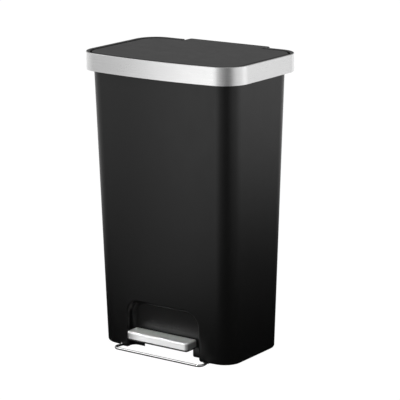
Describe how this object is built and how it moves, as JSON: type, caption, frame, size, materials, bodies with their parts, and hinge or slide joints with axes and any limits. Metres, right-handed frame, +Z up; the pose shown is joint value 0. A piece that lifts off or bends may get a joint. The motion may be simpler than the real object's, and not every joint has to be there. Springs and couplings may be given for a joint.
{
  "type": "pedal trash can",
  "caption": "Tall rectangular pedal bin: black tapered body, steel rim band, flush hinged lid, steel pedal in a niche, wire bar at the foot.",
  "frame": {"origin": "middle of the footprint on the floor, hinge tab included", "axes": "+Z up, -Y towards the pedal and the user, +X to the right when facing the back of the can from the pedal side"},
  "size_m": [0.406, 0.297, 0.65],
  "materials": {
    "body_plastic": "fine satin moulded polypropylene",
    "lid_plastic": "fine satin moulded polypropylene",
    "collar_plastic": "satin moulded plastic",
    "cover_plastic": "satin moulded plastic",
    "lid_frame_plastic": "plain moulded plastic",
    "band_steel": "brushed along the rim",
    "pedal_steel": "fine brushed",
    "bar_chrome": "bright chrome plate",
    "rod_steel": "drawn steel",
    "zinc_steel": "zinc plated sheet and fasteners",
    "nylon": "plain nylon",
    "foot_rubber": "soft black rubber"
  },
  "bodies": {
    "can": {"body_shell": "body_plastic", "rubber_feet": "foot_rubber", "steel_band": "band_steel", "rim_collar": "collar_plastic", "hinge_brackets": "zinc_steel", "hinge_screws": "zinc_steel", "hinge_pin": "rod_steel", "hinge_pin_clips": "zinc_steel", "rod_guides": "nylon", "back_cover": "cover_plastic", "cover_screws": "zinc_steel", "damper_cylinder": "nylon", "axle_brackets": "zinc_steel", "axle_bushes": "nylon", "axle_clips": "zinc_steel", "bracket_screws": "zinc_steel", "pedal_axle": "rod_steel", "stabiliser_bar": "bar_chrome", "bar_clips": "nylon"},
    "lid": {"lid_panel": "lid_plastic", "lid_frame": "lid_frame_plastic", "lid_bumpers": "foot_rubber", "hinge_leaf": "zinc_steel", "crank_pin": "rod_steel"},
    "rod": {"push_rod": "rod_steel", "rod_head": "nylon", "rod_yoke": "nylon", "damper_piston": "rod_steel"},
    "pedal": {"pedal_lever": "zinc_steel", "pedal_core": "collar_plastic", "pedal_cover": "pedal_steel", "pedal_screws": "zinc_steel", "lever_pin": "rod_steel"}
  },
  "joints": [
    {"name": "lid_hinge", "type": "hinge", "parent": "can", "child": "lid", "pos_m": [0, 0.132, 0.64], "axis": [-1, 0, 0], "range_deg": [0, 75]},
    {"name": "rod_slide", "type": "slide", "parent": "can", "child": "rod", "axis": [0, 0.0291, 0.9996], "range_m": [0, 0.03289]},
    {"name": "pedal_pivot", "type": "hinge", "parent": "can", "child": "pedal", "pos_m": [0, -0.04892, 0.034], "axis": [1, 0, 0], "range_deg": [0, 14.41]}
  ],
  "couplings": [
    {"joint": "rod_slide", "follows": "lid_hinge", "m_per_rad": 0.025124},
    {"joint": "pedal_pivot", "follows": "lid_hinge", "ratio": 0.19217}
  ]
}
